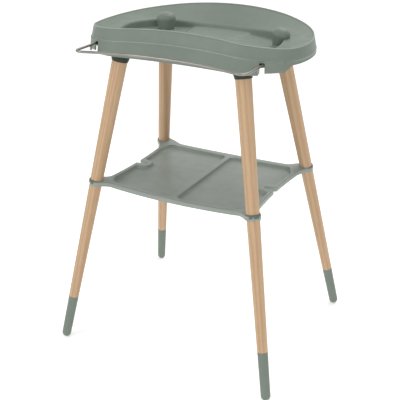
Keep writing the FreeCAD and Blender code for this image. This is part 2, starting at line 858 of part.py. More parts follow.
def make_rail_clip(label, side):
    """A guide under the deck that one arm of the rail slides through."""
    middle = dim("rail_half_width") * side
    body = new_body(label)
    face = new_sketch(body, f"{label}_face", "XZ_Plane", -dim("clip_front_y"))
    half, ear = dim("clip_half"), dim("clip_ear")
    low, high = dim("clip_bottom"), dim("clip_top")
    shoulder = dim("flange_bottom") - dim("gap")
    profile = [
        (middle - ear, low),
        (middle + ear, low),
        (middle + ear, shoulder),
        (middle + half, shoulder),
        (middle + half, high),
        (middle - half, high),
        (middle - half, shoulder),
        (middle - ear, shoulder),
    ]
    outline(face, profile)
    pad(body, face, dim("clip_length"), Reversed=True)
    bore = new_sketch(body, f"{label}_bore", "XZ_Plane", -dim("clip_front_y"))
    circle(bore, middle, dim("rail_height"), dim("rail_radius") + dim("running_fit"))
    pocket(body, bore)
    return body


def make_rail_stops():
    """Sleeves on the ends of the arms, which meet the guides when the rail is right out."""
    members = []
    for side, word in ((-1, "left"), (1, "right")):
        place = Vector(side * DIMENSIONS["rail_half_width"], 0, DIMENSIONS["rail_height"])
        frame = Placement(place, Rotation(Vector(1, 0, 0), 90))
        front = dim("clip_front_y") + dim("clip_length") + dim("rail_travel")
        start = -(front + dim("stop_length"))
        sizes = (dim("stop_radius"), dim("rail_radius") + dim("running_fit"))
        members.append(tube(f"stop_{word}", frame, start, *sizes, dim("stop_length")))
    return group("rail_stops", members)


def make_rail_pegs():
    """Short pins under the arms, which meet the skirt when the rail is pushed home."""
    members = []
    for side, word in ((-1, "left"), (1, "right")):
        place = Vector(side * DIMENSIONS["rail_half_width"], DIMENSIONS["rail_peg_y"], 0)
        top = dim("rail_height") - dim("rail_radius") - dim("fit")
        start = top - dim("rail_peg_length")
        frame = Placement(place, Rotation())
        sizes = (dim("rail_peg_radius"), dim("rail_peg_length"))
        members.append(cylinder(f"rail_peg_{word}", frame, start, *sizes))
    return group("rail_pegs", members)


# ---------------------------------------------------------------- storage tray


def make_storage_tray():
    """A shallow divided tray whose corners reach out to the rings on the legs."""
    body = new_body("storage_tray")
    bottom = dim("shelf_top") - dim("shelf_thick")
    side_x, front_y, back_y = dim("shelf_side_x"), dim("shelf_front_y"), dim("shelf_back_y")
    plate = new_sketch(body, "shelf_plate", height=bottom)
    # each arm runs on past its ring, and is then cut to fit round it
    right = [
        (dim("shelf_front_x"), front_y),
        (side_x + 2, front_y - 25),
        (side_x + 28, front_y - 3),
        (side_x, front_y + 29, dim("shelf_side_radius"), "hollow"),
        (side_x - 2, back_y - 46),
        (side_x + 28, back_y - 12),
        (side_x + 2, back_y + 11),
        (dim("shelf_back_x"), back_y, dim("shelf_back_radius"), "hollow"),
    ]
    left = [
        (-dim("shelf_back_x"), back_y),
        (-side_x - 2, back_y + 11),
        (-side_x - 28, back_y - 12),
        (-side_x + 2, back_y - 46, dim("shelf_side_radius"), "hollow"),
        (-side_x, front_y + 29),
        (-side_x - 28, front_y - 3),
        (-side_x - 2, front_y - 25),
        (-dim("shelf_front_x"), front_y, dim("shelf_front_radius")),
    ]
    outline(plate, right + left)
    pad(body, plate, dim("shelf_thick"))
    for name in LEGS:
        bore = leg_radius(dim("ring_top")) + dim("ring_wall") + dim("fit") + dim("gap")
        start = along(name, dim("ring_bottom") - 30)
        rod(body, f"eye_{name}", leg_frame(name), start, bore, 80.0, cut=True)
    rib, corner = dim("rib_half"), dim("pan_corner")
    near, far = front_y + 12, back_y - 28
    wide = side_x - 22
    waist = side_x - 44
    for side, word in ((1, "right"), (-1, "left")):
        pan = new_sketch(body, f"pan_{word}", height=dim("shelf_top"))
        points = [
            (rib, near),
            (wide - corner, near),
            (wide, near + corner),
            (wide - 4, -48.0),
            (waist, -34.0),
            (waist, 12.0),
            (wide - 4, 26.0),
            (wide, far - corner),
            (wide - corner, far),
            (rib, far),
        ]
        if side < 0:
            points = [(-x, y) for x, y in reversed(points)]
        outline(pan, points)
        pocket(body, pan, dim("shelf_depth"))
        hook = new_sketch(body, f"hook_{word}", height=dim("shelf_top"))
        half = dim("hook_half")
        inner, outer = (side_x - 22) * side, (side_x + 20) * side
        low_x, high_x = (inner, outer) if side > 0 else (outer, inner)
        rectangle(hook, low_x, -half - 11.0, high_x, half - 11.0)
        pocket(body, hook, dim("shelf_thick"))
    return body


# ---------------------------------------------------------------- mat pegs


def peg_frame(name):
    """Z runs up the peg's axis, from zero where it meets the tray's floor."""
    x, y, lean = PEGS[name][:3]
    side = 1 if x > 0 else -1
    place = Vector(x, y, DIMENSIONS["floor_height"])
    return Placement(place, Rotation(Vector(0, 1, 0), side * lean))


def make_mat_peg(name):
    """A peg that widens to a domed top, with a stem that drops into the tray's floor."""
    body = new_body(name, peg_frame(name))
    lean = math.radians(PEGS[name][2])
    base, top = PEGS[name][3:]
    # the shoulder clears the floor even on the side that the peg leans to
    shoulder = dim("gap") + (base + 1) * math.sin(lean)
    rise = dim("peg_dome")
    dome = (top**2 + rise.number**2) / (2 * rise.number)
    stem = dim("peg_stem")
    profile = [
        (0.0, -3.4),
        (stem, -3.4),
        (stem, shoulder),
        (base, shoulder),
        (top, shoulder + dim("peg_length"), dome),
        (0.0, shoulder + dim("peg_length") + rise),
    ]
    revolve(body, profile)
    return body


# ---------------------------------------------------------------- build, check and write


def build_all():
    made = [make_changing_tray(), make_skirt_frame(), make_support_deck()]
    for name in LEGS:
        made += [make_leg(name), make_foot_cap(name), make_collar(name), make_shelf_ring(name)]
    made += [make_inserts(), make_bolts(), make_tray_screws(), make_flange_screws()]
    made += [make_towel_rail(), make_rail_stops(), make_rail_pegs()]
    made += [make_rail_clip("rail_clip_left", -1), make_rail_clip("rail_clip_right", 1)]
    made += [make_storage_tray()]
    made += [make_mat_peg(name) for name in PEGS]
    return made


def check_everything(made):
    for item in doc.Objects:
        if "Invalid" in item.State or "Error" in item.State:
            raise RuntimeError(f"{item.Name} did not recompute: {item.State}")
    for piece in made:
        if piece.Shape.isNull() or not piece.Shape.isValid():
            raise RuntimeError(f"{piece.Label} is not a valid solid")


fill_sheet()
pieces = build_all()
doc.recompute()
check_everything(pieces)
for piece in pieces:
    piece.Shape.exportStep(f"parts/{piece.Label}.step")
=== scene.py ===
import math

import bmesh
import bpy
from mathutils import Matrix, Vector
from mathutils.geometry import delaunay_2d_cdt


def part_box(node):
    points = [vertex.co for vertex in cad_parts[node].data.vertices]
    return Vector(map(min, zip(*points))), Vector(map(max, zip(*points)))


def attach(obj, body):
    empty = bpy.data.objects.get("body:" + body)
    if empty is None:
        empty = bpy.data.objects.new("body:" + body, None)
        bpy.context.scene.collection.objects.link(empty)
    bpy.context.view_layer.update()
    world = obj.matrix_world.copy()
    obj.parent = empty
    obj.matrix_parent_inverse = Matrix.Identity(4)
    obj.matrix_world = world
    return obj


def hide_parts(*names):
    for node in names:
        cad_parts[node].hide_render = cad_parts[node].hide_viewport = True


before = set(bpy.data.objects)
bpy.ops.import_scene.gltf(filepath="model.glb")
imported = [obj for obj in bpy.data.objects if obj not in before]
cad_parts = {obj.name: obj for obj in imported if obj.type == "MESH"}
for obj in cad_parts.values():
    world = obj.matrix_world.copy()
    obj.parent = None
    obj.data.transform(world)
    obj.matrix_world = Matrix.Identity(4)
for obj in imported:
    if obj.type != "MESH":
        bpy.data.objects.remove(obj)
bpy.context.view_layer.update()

# Every length below is in millimetres in the CAD frame, and is scaled when a mesh is made.
MM = 0.001
TAU = 2 * math.pi
# degrees: the camera's turn about Z, which the studio floor shares
CAMERA_TURN = 27.34

shelf_low, shelf_high = [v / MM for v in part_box("storage_tray")]
rail_low, rail_high = [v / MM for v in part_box("towel_rail")]


def smoothstep(low, high, value):
    t = min(1.0, max(0.0, (value - low) / (high - low)))
    return t * t * (3 - 2 * t)


def mix(a, b, t):
    return a + (b - a) * t


# ------------------------------------------------------------------ materials


def new_material(name):
    mat = bpy.data.materials.new(name)
    mat.use_nodes = True
    nodes, links = mat.node_tree.nodes, mat.node_tree.links
    nodes.clear()
    out = nodes.new("ShaderNodeOutputMaterial")
    shader = nodes.new("ShaderNodeBsdfPrincipled")
    links.new(shader.outputs["BSDF"], out.inputs["Surface"])
    return mat, nodes, links, shader


def add(nodes, kind, **values):
    node = nodes.new(kind)
    for key, value in values.items():
        if key in node.inputs:
            node.inputs[key].default_value = value
        else:
            setattr(node, key, value)
    return node


def ramp(nodes, stops):
    node = nodes.new("ShaderNodeValToRGB")
    points = node.color_ramp.elements
    points[0].position, points[0].color = stops[0][0], (*stops[0][1], 1)
    points[1].position, points[1].color = stops[-1][0], (*stops[-1][1], 1)
    for place, colour in stops[1:-1]:
        points.new(place).color = (*colour, 1)
    return node


def grey(value):
    return (value, value, value)


def shade(colour, factor):
    return tuple(c * factor for c in colour)


def coords(nodes, links, scale):
    place = nodes.new("ShaderNodeTexCoord")
    mapping = nodes.new("ShaderNodeMapping")
    mapping.inputs["Scale"].default_value = scale
    links.new(place.outputs["Object"], mapping.inputs["Vector"])
    return mapping.outputs["Vector"]


def moulded_plastic(name, colour, rough=0.46, sheen=0.28, spread=0.06):
    """Moulded plastic: fine spark texture, cloudy colour, a painted highlight that makes sharp
    edges paler, patchy gloss.
    """
    mat, nodes, links, shader = new_material(name)
    vector = coords(nodes, links, (1, 1, 1))
    cloud = add(nodes, "ShaderNodeTexNoise", Scale=9.0, Detail=5.0, Roughness=0.55)
    links.new(vector, cloud.inputs["Vector"])
    tint = ramp(nodes, [(0.3, shade(colour, 1 - spread)), (0.7, shade(colour, 1 + spread))])
    links.new(cloud.outputs["Fac"], tint.inputs["Fac"])
    # painted highlight: sharp edges, found by pointiness, are mixed towards a paler copy of the
    # colour
    geometry = nodes.new("ShaderNodeNewGeometry")
    edge = ramp(nodes, [(0.5, grey(0.0)), (0.56, grey(1.0))])
    links.new(geometry.outputs["Pointiness"], edge.inputs["Fac"])
    edge_highlight = nodes.new("ShaderNodeMixRGB")
    edge_highlight.inputs["Color2"].default_value = (*shade(colour, 1.22), 1)
    soften = add(nodes, "ShaderNodeMath", operation="MULTIPLY")
    soften.inputs[1].default_value = 0.45
    links.new(edge.outputs["Color"], soften.inputs[0])
    links.new(soften.outputs[0], edge_highlight.inputs["Fac"])
    links.new(tint.outputs["Color"], edge_highlight.inputs["Color1"])
    links.new(edge_highlight.outputs["Color"], shader.inputs["Base Color"])
    patch = add(nodes, "ShaderNodeTexNoise", Scale=38.0, Detail=3.0)
    links.new(vector, patch.inputs["Vector"])
    gloss = ramp(nodes, [(0.3, grey(rough - 0.06)), (0.7, grey(rough + 0.07))])
    links.new(patch.outputs["Fac"], gloss.inputs["Fac"])
    links.new(gloss.outputs["Color"], shader.inputs["Roughness"])
    grain = add(nodes, "ShaderNodeTexNoise", Scale=1400.0, Detail=2.0)
    links.new(vector, grain.inputs["Vector"])
    bump = add(nodes, "ShaderNodeBump", Strength=0.10, Distance=0.0003)
    links.new(grain.outputs["Fac"], bump.inputs["Height"])
    links.new(bump.outputs["Normal"], shader.inputs["Normal"])
    shader.inputs["Specular IOR Level"].default_value = sheen
    return mat


def beech(name):
    """Lacquered beech: long grain along local Z, soft arches, short flecks, a warm sheen."""
    mat, nodes, links, shader = new_material(name)
    info = nodes.new("ShaderNodeObjectInfo")
    place = nodes.new("ShaderNodeTexCoord")
    shift = add(nodes, "ShaderNodeVectorMath", operation="SCALE")
    links.new(info.outputs["Location"], shift.inputs[0])
    shift.inputs["Scale"].default_value = 3.7
    moved = add(nodes, "ShaderNodeVectorMath", operation="ADD")
    links.new(place.outputs["Object"], moved.inputs[0])
    links.new(shift.outputs[0], moved.inputs[1])

    def stretched(scale):
        mapping = nodes.new("ShaderNodeMapping")
        mapping.inputs["Scale"].default_value = scale
        links.new(moved.outputs[0], mapping.inputs["Vector"])
        return mapping.outputs["Vector"]

    rings = add(nodes, "ShaderNodeTexWave", Scale=8.0, Distortion=7.0, Detail=3.0)
    rings.bands_direction = "X"
    rings.inputs["Detail Scale"].default_value = 1.2
    links.new(stretched((3.2, 3.2, 0.16)), rings.inputs["Vector"])
    arches = ramp(
        nodes,
        [(0.0, (0.45, 0.29, 0.168)), (0.4, (0.49, 0.325, 0.192)), (1.0, (0.53, 0.36, 0.218))],
    )
    links.new(rings.outputs["Fac"], arches.inputs["Fac"])
    fibre = add(nodes, "ShaderNodeTexNoise", Scale=60.0, Detail=6.0, Roughness=0.6)
    links.new(stretched((9.0, 9.0, 0.45)), fibre.inputs["Vector"])
    streak = ramp(nodes, [(0.34, grey(0.86)), (0.66, grey(1.06))])
    links.new(fibre.outputs["Fac"], streak.inputs["Fac"])
    body = nodes.new("ShaderNodeMixRGB")
    body.blend_type = "MULTIPLY"
    body.inputs["Fac"].default_value = 0.55
    links.new(arches.outputs["Color"], body.inputs["Color1"])
    links.new(streak.outputs["Color"], body.inputs["Color2"])
    fleck = add(nodes, "ShaderNodeTexVoronoi", Scale=240.0)
    links.new(stretched((1.6, 1.6, 0.12)), fleck.inputs["Vector"])
    dots = ramp(nodes, [(0.0, grey(0.7)), (0.16, grey(1.0))])
    links.new(fleck.outputs["Distance"], dots.inputs["Fac"])
    spotted = nodes.new("ShaderNodeMixRGB")
    spotted.blend_type = "MULTIPLY"
    spotted.inputs["Fac"].default_value = 0.28
    links.new(body.outputs["Color"], spotted.inputs["Color1"])
    links.new(dots.outputs["Color"], spotted.inputs["Color2"])
    links.new(spotted.outputs["Color"], shader.inputs["Base Color"])
    gloss = ramp(nodes, [(0.3, grey(0.38)), (0.75, grey(0.56))])
    links.new(fibre.outputs["Fac"], gloss.inputs["Fac"])
    links.new(gloss.outputs["Color"], shader.inputs["Roughness"])
    bump = add(nodes, "ShaderNodeBump", Strength=0.12, Distance=0.0004)
    links.new(fibre.outputs["Fac"], bump.inputs["Height"])
    links.new(bump.outputs["Normal"], shader.inputs["Normal"])
    shader.inputs["Specular IOR Level"].default_value = 0.35
    return mat


def brushed_steel(name, colour, rough=0.3):
    """Steel with fine drawn lines, cloudy tint and faint handling marks."""
    mat, nodes, links, shader = new_material(name)
    vector = coords(nodes, links, (1, 1, 1))
    lines = add(nodes, "ShaderNodeTexNoise", Scale=900.0, Detail=4.0)
    links.new(coords(nodes, links, (1.0, 0.06, 1.0)), lines.inputs["Vector"])
    cloud = add(nodes, "ShaderNodeTexNoise", Scale=22.0, Detail=3.0)
    links.new(vector, cloud.inputs["Vector"])
    tint = ramp(nodes, [(0.3, shade(colour, 0.86)), (0.7, shade(colour, 1.08))])
    links.new(cloud.outputs["Fac"], tint.inputs["Fac"])
    links.new(tint.outputs["Color"], shader.inputs["Base Color"])
    gloss = ramp(nodes, [(0.3, grey(rough - 0.07)), (0.7, grey(rough + 0.12))])
    links.new(lines.outputs["Fac"], gloss.inputs["Fac"])
    links.new(gloss.outputs["Color"], shader.inputs["Roughness"])
    bump = add(nodes, "ShaderNodeBump", Strength=0.08, Distance=0.0002)
    links.new(lines.outputs["Fac"], bump.inputs["Height"])
    links.new(bump.outputs["Normal"], shader.inputs["Normal"])
    shader.inputs["Metallic"].default_value = 1.0
    return mat


GREEN = (0.168, 0.202, 0.168)
PLASTIC = moulded_plastic("green_plastic", GREEN)
# a paler copy of the green plastic: a painted highlight for the rolled rim, the seam line and the
# peg rings
EDGE_HIGHLIGHT = moulded_plastic("green_edge_highlight", shade(GREEN, 1.4), rough=0.36, sheen=0.5)
DECK = moulded_plastic("deck_plastic", shade(GREEN, 0.75), rough=0.6)
RING = moulded_plastic("ring_plastic", (0.105, 0.125, 0.105), rough=0.48)
# painted light: the shelf is the tray's green plastic painted paler, standing in for the light its
# upward-facing floor catches
SHELF_LIT = moulded_plastic("green_shelf_lit", (0.235, 0.266, 0.236), rough=0.4, sheen=0.45)
DARK = moulded_plastic("dark_plastic", (0.030, 0.038, 0.030), rough=0.5)
GUIDE = moulded_plastic("guide_plastic", (0.2, 0.2, 0.19), rough=0.5)
WOOD = beech("beech")
STEEL = brushed_steel("rail_steel", (0.30, 0.285, 0.26), 0.34)
ZINC = brushed_steel("zinc_steel", (0.62, 0.62, 0.62), 0.36)


# ------------------------------------------------------------------ mesh helpers


def make_object(name, verts, faces, material, matrix=None, angle=35.0):
    mesh = bpy.data.meshes.new(name)
    mesh.from_pydata([Vector(v) * MM for v in verts], [], faces)
    work = bmesh.new()
    work.from_mesh(mesh)
    bmesh.ops.remove_doubles(work, verts=work.verts, dist=1e-6)
    bmesh.ops.dissolve_degenerate(work, edges=work.edges, dist=1e-7)
    bmesh.ops.recalc_face_normals(work, faces=work.faces)
    work.to_mesh(mesh)
    work.free()
    mesh.materials.append(material)
    mesh.shade_smooth()
    mesh.set_sharp_from_angle(angle=math.radians(angle))
    item = bpy.data.objects.new(name, mesh)
    bpy.context.scene.collection.objects.link(item)
    if matrix is not None:
        item.matrix_world = matrix
    return item


def stitch(rings, closed=True, first=0):
    """Quads between successive rings of equal length; first is the index of the first point."""
    count = len(rings[0])
    faces = []
    for r in range(len(rings) - 1):
        a, b = first + r * count, first + (r + 1) * count
        for i in range(count if closed else count - 1):
            j = (i + 1) % count
            faces.append((a + i, a + j, b + j, b + i))
    return faces


def turned(name, profile, material, matrix, segments=48, angle=35.0):
    """A solid of revolution about local Z, from (radius, z) points."""
    verts, rings = [], []
    for radius, z in profile:
        ring = [
            (radius * math.cos(TAU * i / segments), radius * math.sin(TAU * i / segments), z)
            for i in range(segments)
        ]
        rings.append(ring)
        verts += ring
    return make_object(name, verts, stitch(rings), material, matrix, angle)


def swept(name, path, radius, material, segments=20):
    """A round bar along a path of points, with rounded ends."""
    pts = [Vector(p) for p in path]
    verts, rings = [], []
    count = len(pts)
    sections = []
    for i, p in enumerate(pts):
        ahead = pts[min(i + 1, count - 1)] - pts[max(i - 1, 0)]
        sections.append((p, ahead.normalized(), radius))
    start, way, _ = sections[0]
    end, out, _ = sections[-1]
    cap, tail = [], []
    for a in (0.15, 0.5, 0.9, 1.25):
        cap.append((start - way * radius * math.cos(a), way, radius * math.sin(a)))
        tail.append((end + out * radius * math.cos(a), out, radius * math.sin(a)))
    sections = cap + sections + tail[::-1]
    for p, way, r in sections:
        side = way.cross(Vector((0, 0, 1)))
        side = side.normalized() if side.length > 1e-4 else Vector((1, 0, 0))
        up = side.cross(way).normalized()
        ring = [
            p + side * (r * math.cos(TAU * k / segments)) + up * (r * math.sin(TAU * k / segments))
            for k in range(segments)
        ]
        rings.append(ring)
        verts += ring
    faces = stitch(rings)
    faces.append(tuple(range(segments)))
    last = (len(rings) - 1) * segments
    faces.append(tuple(last + k for k in range(segments)))
    return make_object(name, verts, faces, material)


def outward(loop):
    """Unit normals, in plan, of a closed anticlockwise loop."""
    count = len(loop)
    normals = []
    for i in range(count):
        ahead = Vector(loop[(i + 1) % count][:2]) - Vector(loop[i - 1][:2])
        ahead.normalize()
        normals.append(Vector((ahead.y, -ahead.x)))
    return normals


def inside(loop, x, y):
    hit = False
    j = len(loop) - 1
    for i in range(len(loop)):
        xi, yi, xj, yj = loop[i][0], loop[i][1], loop[j][0], loop[j][1]
        if (yi > y) != (yj > y) and x < (xj - xi) * (y - yi) / (yj - yi) + xi:
            hit = not hit
        j = i
    return hit


def rounded(corners, steps=7):
    """A closed loop through (x, y, radius) corners, each rounded by its radius."""
    loop = []
    count = len(corners)
    for i, (x, y, radius) in enumerate(corners):
        p = Vector((x, y))
        before = (Vector(corners[i - 1][:2]) - p).normalized()
        after = (Vector(corners[(i + 1) % count][:2]) - p).normalized()
        half = before.angle(after) / 2
        if radius < 0.2 or half > 1.55:
            loop.append((x, y))
            continue
        reach = radius / math.tan(half)
        a, b = p + before * reach, p + after * reach
        centre = p + (before + after).normalized() * (radius / math.sin(half))
        start, stop = a - centre, b - centre
        turn = start.angle_signed(stop)
        for s in range(steps + 1):
            spun = start.copy()
            spun.rotate(Matrix.Rotation(-turn * s / steps, 2))
            loop.append(tuple(centre + spun))
    return loop


def resample(loop, spacing):
    """Adds points along the long stretches of a loop."""
    dense = []
    for i, p in enumerate(loop):
        a, b = Vector(p), Vector(loop[(i + 1) % len(loop)])
        parts = max(1, int((b - a).length / spacing))
        for s in range(parts):
            dense.append(tuple(a.lerp(b, s / parts)))
    return dense


def filled(outer, holes, spacing, height):
    """Triangles that fill outer but not holes, with extra points inside; height gives z."""
    points = [Vector(p) for p in outer]
    edges = [(i, (i + 1) % len(outer)) for i in range(len(outer))]
    for hole in holes:
        base = len(points)
        points += [Vector(p) for p in hole]
        edges += [(base + i, base + (i + 1) % len(hole)) for i in range(len(hole))]
    if spacing:
        xs, ys = [p[0] for p in outer], [p[1] for p in outer]
        x = min(xs) + spacing / 2
        while x < max(xs):
            y = min(ys) + spacing / 2
            while y < max(ys):
                clear = inside(outer, x, y) and not any(inside(h, x, y) for h in holes)
                if clear:
                    points.append(Vector((x, y)))
                y += spacing
            x += spacing
    verts, _, faces, *_ = delaunay_2d_cdt(points, edges, [], 0, 1e-5)
    kept = []
    for face in faces:
        cx = sum(verts[i].x for i in face) / len(face)
        cy = sum(verts[i].y for i in face) / len(face)
        if inside(outer, cx, cy) and not any(inside(h, cx, cy) for h in holes):
            kept.append(tuple(face))
    return [(v.x, v.y, height(v.x, v.y)) for v in verts], kept


class Builder:
    """Gathers points and faces into one mesh."""

    def __init__(self):
        self.verts, self.faces = [], []

    def add(self, verts, faces):
        base = len(self.verts)
        self.verts += [tuple(v) for v in verts]
        self.faces += [tuple(base + i for i in f) for f in faces]

    def rings(self, rings, closed=True):
        self.add([p for ring in rings for p in ring], stitch(rings, closed))


# ------------------------------------------------------------------ kidney outlines

RADII = (1230.0, 134.0, 246.0, 414.0)
SKIRT = (318.0, -195.0, 214.0, RADII)
TRAY = (307.4, -188.8, 208.8, RADII)
RECESS = (236.0, -150.0, 100.0, (1400.0, 60.0, 150.0, 420.0))
STEPS = (26, 44, 44, 40)


def kidney_arcs(spec):
    width, front_y, back_y, (r1, r2, r3, r4) = spec
    front, back = Vector((0, front_y - r1)), Vector((0, back_y - r4))
    side_x = width - r3
    side = Vector((side_x, back.y + math.sqrt((r4 - r3) ** 2 - side_x**2)))
    span = (side - front).length
    reach, spare = r1 + r2, r3 - r2
    along = (reach**2 - spare**2 + span**2) / (2 * span)
    way = (side - front) / span
    lobe = front + way * along + Vector((way.y, -way.x)) * math.sqrt(reach**2 - along**2)
    t12 = front + (lobe - front).normalized() * r1
    t23 = side + (lobe - side).normalized() * r3
    t34 = back + (side - back).normalized() * r4

    def angle(centre, point):
        return math.atan2(point.y - centre.y, point.x - centre.x)

    lobe_start, lobe_end = angle(lobe, t12), angle(lobe, t23)
    return [
        (front, r1, 1, math.pi / 2, angle(front, t12), STEPS[0]),
        (lobe, r2, -1, lobe_start, lobe_end, STEPS[1]),
        (side, r3, -1, angle(side, t23), angle(side, t34), STEPS[2]),
        (back, r4, -1, angle(back, t34), math.pi / 2, STEPS[3]),
    ]


def kidney_rows(spec, insets):
    """The kidney's plan points, anticlockwise from the middle of the front.

    insets gives each point's own inset, or is one number for all of them.
    """
    right = []
    for centre, radius, sign, start, stop, steps in kidney_arcs(spec):
        for s in range(steps):
            a = mix(start, stop, s / steps)
            right.append((centre, radius, sign, a))
    centre, radius, sign, _, stop, _ = kidney_arcs(spec)[-1]
    right.append((centre, radius, sign, stop))
    count = 2 * (len(right) - 1)
    loop = []
    for i in range(count):
        mirrored = i >= len(right)
        c, r, sign, a = right[count - i] if mirrored else right[i]
        inset = insets[i] if isinstance(insets, list) else insets
        rad = r + sign * inset
        x, y = c.x + rad * math.cos(a), c.y + rad * math.sin(a)
        loop.append((-x if mirrored else x, y))
    return loop


COUNT = 2 * sum(STEPS)


SEAM_Z, SEAM_RADIUS = 920.0, 2960.0
LEAN, END_LEAN = 0.42, 0.2


def seam_z(x):
    return SEAM_Z - (SEAM_RADIUS - math.sqrt(SEAM_RADIUS**2 - x * x))


def rim_z(x, y):
    rise = (max(y, -100.0) + 100.0) / 300.0
    return 954.4 + 0.02 * (y + 150.0) + 4.1 * rise**2 - 21.0 * (x / 300.0) ** 2


def leans():
    """How much each point of the tray's wall leans in: less at the two ends."""
    out = []
    for normal in outward(kidney_rows(TRAY, 0.0)):
        out.append(mix(LEAN, END_LEAN, smoothstep(0.55, 0.95, abs(normal.x))))
    return out


# ------------------------------------------------------------------ changing tray


def wall_row(fraction):
    """One row of the tray's leaning wall, between the seam (0) and the rim (1)."""
    insets = [0.0] * COUNT
    heights = [0.0] * COUNT
    lean = leans()
    for _ in range(4):
        plan = kidney_rows(TRAY, insets)
        for i, (x, y) in enumerate(plan):
            seam = seam_z(x)
            heights[i] = mix(seam, rim_z(x, y), fraction)
            insets[i] = LEAN * (seam - SEAM_Z) + lean[i] * (heights[i] - seam)
    return plan, heights, insets


PLATEAU, LOWER = 910.4, 906.8
WALL_FRACTIONS = [0.09 + 0.08 * step for step in range(1, 11)]


def shelled(item, thickness):
    thick = item.modifiers.new("shell", "SOLIDIFY")
    thick.thickness = thickness
    thick.offset = -1.0


def floor_z(x, y):
    edge = 93.0 - 0.2 * (100.0 - y)
    return mix(PLATEAU, LOWER, smoothstep(edge - 3.0, edge + 5.0, abs(x)))


def step_z(x, y):
    lift = smoothstep(50.0, 200.0, abs(x)) * 9.0
    return 917.0 + lift * (1 - 0.8 * smoothstep(-20.0, -100.0, y))


def build_tray():
    shell = Builder()
    rows = []
    # the foot of the wall is a small rounded ledge over the skirt
    _, heights, insets = wall_row(0.0)
    for extra, drop in ((2.4, 0.3), (0.9, 0.0), (0.4, 0.2), (0.2, 0.6), (0.1, 1.2), (0.0, 2.0)):
        shifted = kidney_rows(TRAY, [v + extra for v in insets])
        rows.append([(p[0], p[1], heights[i] + drop) for i, p in enumerate(shifted)])
    for fraction in WALL_FRACTIONS:
        plan, heights, _ = wall_row(fraction)
        rows.append([(p[0], p[1], heights[i]) for i, p in enumerate(plan)])
    # rolled rim, about 5 mm across
    _, heights, insets = wall_row(1.0)
    for extra, drop in (
        (-0.3, 2.6), (-0.15, 1.4), (0.3, 0.55), (1.0, 0.1), (2.0, -0.1), (3.1, 0.0), (4.1, 0.5),
        (4.9, 1.3), (5.5, 2.4),
    ):
        shifted = kidney_rows(TRAY, [v + extra for v in insets])
        rows.append([(p[0], p[1], heights[i] - drop) for i, p in enumerate(shifted)])
    inner = rows[-1]
    recess = kidney_rows(RECESS, 0.0)
    steps = 22
    for s in range(1, steps + 1):
        u = s / steps
        row = []
        for i in range(COUNT):
            x0, y0, z0 = inner[i]
            x1, y1 = recess[i]
            z1 = step_z(x1, y1) + 2.0
            flat = smoothstep(150.0, 285.0, abs(x0))
            front = smoothstep(0.0, -110.0, y0)
            power = mix(mix(1.06, 2.2, flat), 4.0, front)
            z = z1 + (z0 - z1) * (1 - u) ** power
            row.append((mix(x0, x1, u), mix(y0, y1, u), z))
        rows.append(row)
    # rounded shoulder and the upright band below it
    for inset, drop in ((1.4, 2.5), (2.4, 3.6), (2.9, 5.2)):
        ring = kidney_rows(RECESS, inset)
        rows.append([(x, y, step_z(x, y) + 2.0 - drop + 0.6) for x, y in ring])
    for inset, lift in ((3.4, 2.6), (4.0, 1.1), (5.2, 0.3), (7.0, 0.0)):
        ring = kidney_rows(RECESS, inset)
        rows.append([(x, y, floor_z(x, y) + lift) for x, y in ring])
    last = kidney_rows(RECESS, 7.0)
    rings = 34
    for s in range(1, rings - 3):
        u = s / rings
        row = []
        for x, y in last:
            cx, cy = max(-150.0, min(150.0, x * 0.72)), -26.0
            px, py = mix(x, cx, u), mix(y, cy, u)
            row.append((px, py, floor_z(px, py)))
        rows.append(row)
    shell.rings(rows)
    middle = [(p[0], p[1]) for p in rows[-1]]
    shell.add(*filled(middle, [], 5.0, floor_z))
    tray = make_object("tray_shell", shell.verts, shell.faces, PLASTIC, angle=40.0)
    shelled(tray, 0.0022)
    return tray


# ------------------------------------------------------------------ skirt


NOTCH = (237.0, 249.0)
NOTCH_BACK_Y = -120.0
RAMP_Y = (-154.0, -132.6)
FRONT_EDGE, SIDE_EDGE, BACK_EDGE = 874.3, 880.0, 895.0


def skirt_floor(x, y):
    """The lower edge: level at the front, a step up at the notch, a ramp, then higher behind."""
    if abs(x) < NOTCH[0] and y < NOTCH_BACK_Y:
        return FRONT_EDGE
    return min(BACK_EDGE, max(SIDE_EDGE, SIDE_EDGE + 0.7 * (y - RAMP_Y[0])))


